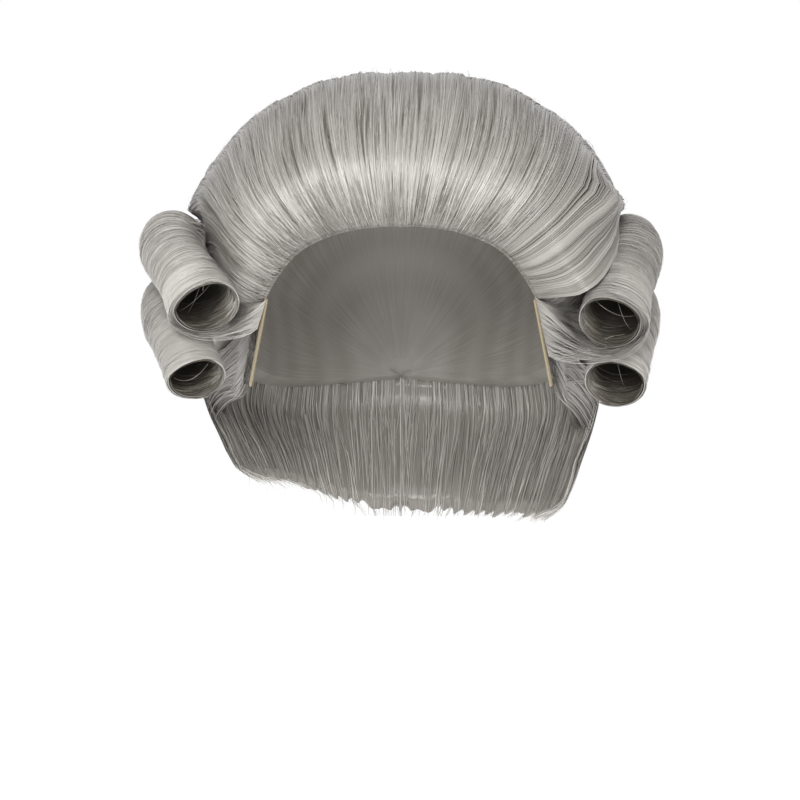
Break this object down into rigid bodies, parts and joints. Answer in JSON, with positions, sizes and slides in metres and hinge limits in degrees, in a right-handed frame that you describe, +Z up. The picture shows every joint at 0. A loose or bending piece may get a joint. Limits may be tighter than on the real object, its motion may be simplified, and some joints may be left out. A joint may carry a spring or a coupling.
{
  "type": "powdered wig",
  "caption": "Powdered court wig: a padded dome of combed hair with a front roll, hollow side curls and turned-under hair at the nape.",
  "frame": {"origin": "head_seat, the top of the hollow, where the wig sits on the crown of a head", "axes": "+Z up, -Y to the front where the face is, +X to the right of someone who looks at the front"},
  "size_m": [0.2524, 0.2136, 0.2198],
  "materials": {
    "crown_hair": "silver-grey wig fibre, combed, satin",
    "curl_hair": "silver-grey wig fibre, wound in rolls, satin",
    "nape_hair": "silver-grey wig fibre, hanging, satin",
    "edge_tape": "beige woven tape"
  },
  "bodies": {
    "root": {"crown_hair": "crown_hair", "curl_upper_left": "curl_hair", "curl_lower_left": "curl_hair", "curl_upper_right": "curl_hair", "curl_lower_right": "curl_hair", "nape_hair": "nape_hair", "edge_tape_left": "edge_tape", "edge_tape_right": "edge_tape"}
  },
  "joints": []
}
